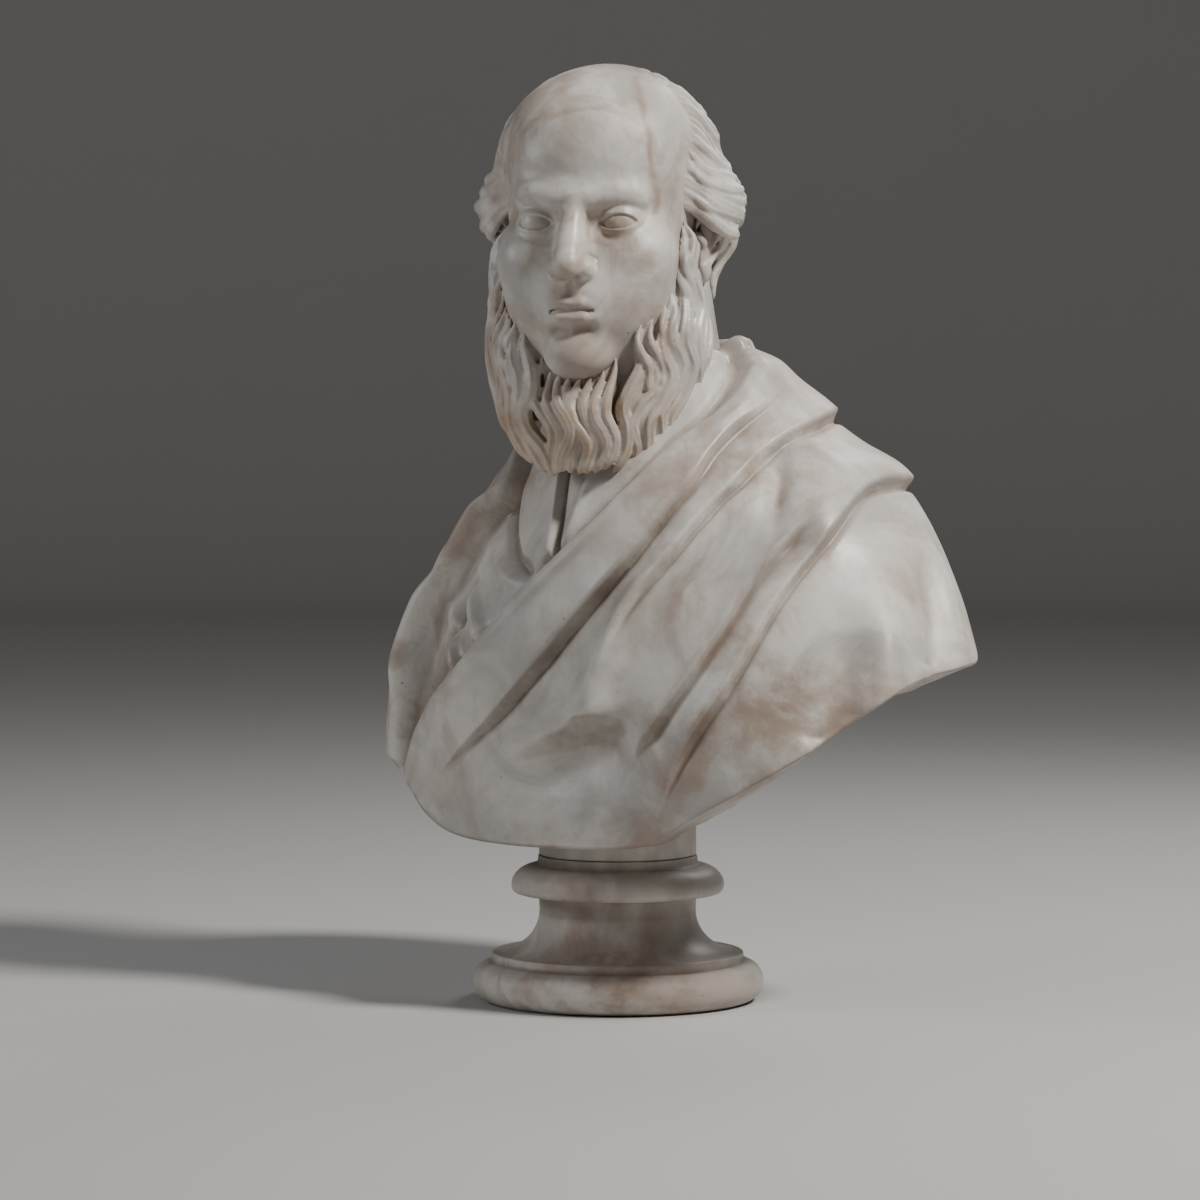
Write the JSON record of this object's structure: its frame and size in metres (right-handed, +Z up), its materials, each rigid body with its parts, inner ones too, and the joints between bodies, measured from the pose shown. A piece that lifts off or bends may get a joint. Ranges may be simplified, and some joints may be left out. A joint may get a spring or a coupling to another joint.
{
  "type": "portrait bust",
  "caption": "Marble portrait bust of a bearded, bald-crowned sitter in a draped mantle over a tunic, with a hollowed back, standing on a turned round marble socle.",
  "frame": {"origin": "centre of the socle's flat underside", "axes": "+Z up through the socle's turning axis, -Y the way the chest faces, +X to the sitter's left; the head is turned 25 degrees to its left"},
  "size_m": [0.5166, 0.3216, 0.717],
  "materials": {
    "marble": "semi-polished pale grey marble with brown veins and a warm patina in the recesses",
    "socle_marble": "duller grey-brown marble with dark pits"
  },
  "bodies": {
    "root": {"bust": "marble", "socle": "socle_marble"}
  },
  "joints": []
}
